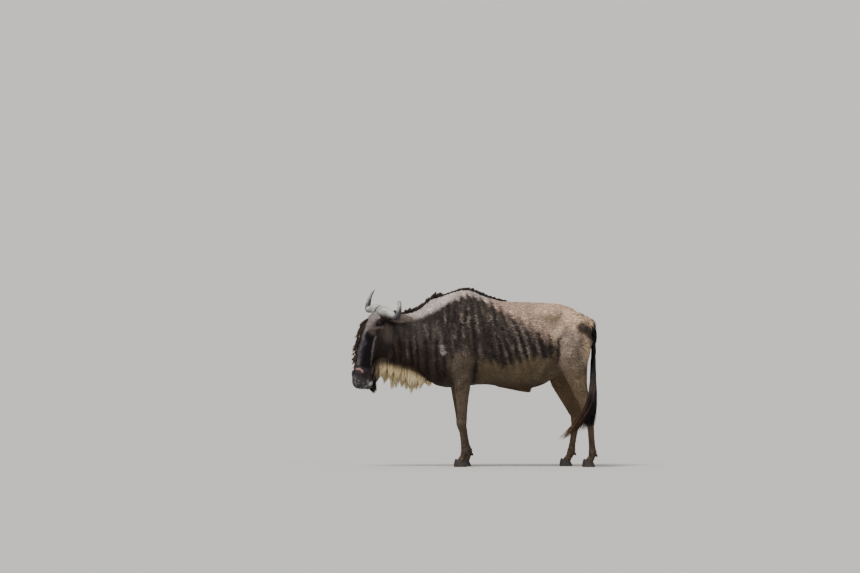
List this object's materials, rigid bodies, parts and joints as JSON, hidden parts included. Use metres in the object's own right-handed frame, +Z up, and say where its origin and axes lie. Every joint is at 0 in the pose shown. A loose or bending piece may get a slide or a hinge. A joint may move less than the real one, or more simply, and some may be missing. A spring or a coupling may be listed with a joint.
{
  "type": "wildebeest figure",
  "caption": "Life-size still figure of a standing blue wildebeest bull with a low, turned head, hooked horns, mane, pale beard and long dark tail.",
  "frame": {"origin": "on the ground plane under the middle of the bounding box", "axes": "+X towards the tail (the nose points to -X), +Y towards the animal's right side, +Z up from the ground"},
  "size_m": [1.7932, 0.5318, 1.312],
  "materials": {
    "body_coat": "short tan-grey fur with dark upright bands, matte with a soft sheen",
    "dark_coat": "short dark fur, black on the face, matte with a soft sheen",
    "leg_coat": "very short brown fur, satin",
    "tail_hair": "long coarse black hair with brown tips",
    "horn": "worn grey keratin, ridged on the boss and smooth at the tips",
    "hoof": "dull black keratin with dust",
    "eye": "wet, very dark brown"
  },
  "bodies": {
    "root": {"torso": "body_coat", "neck": "dark_coat", "head": "dark_coat", "ear_left": "dark_coat", "ear_right": "dark_coat", "eye_left": "eye", "eye_right": "eye", "horn_left": "horn", "horn_right": "horn", "foreleg_left": "leg_coat", "foreleg_right": "leg_coat", "hindleg_left": "leg_coat", "hindleg_right": "leg_coat", "hoof_fore_left_outer": "hoof", "hoof_fore_left_inner": "hoof", "hoof_fore_right_outer": "hoof", "hoof_fore_right_inner": "hoof", "hoof_hind_left_outer": "hoof", "hoof_hind_left_inner": "hoof", "hoof_hind_right_outer": "hoof", "hoof_hind_right_inner": "hoof", "tail": "tail_hair"}
  },
  "joints": []
}
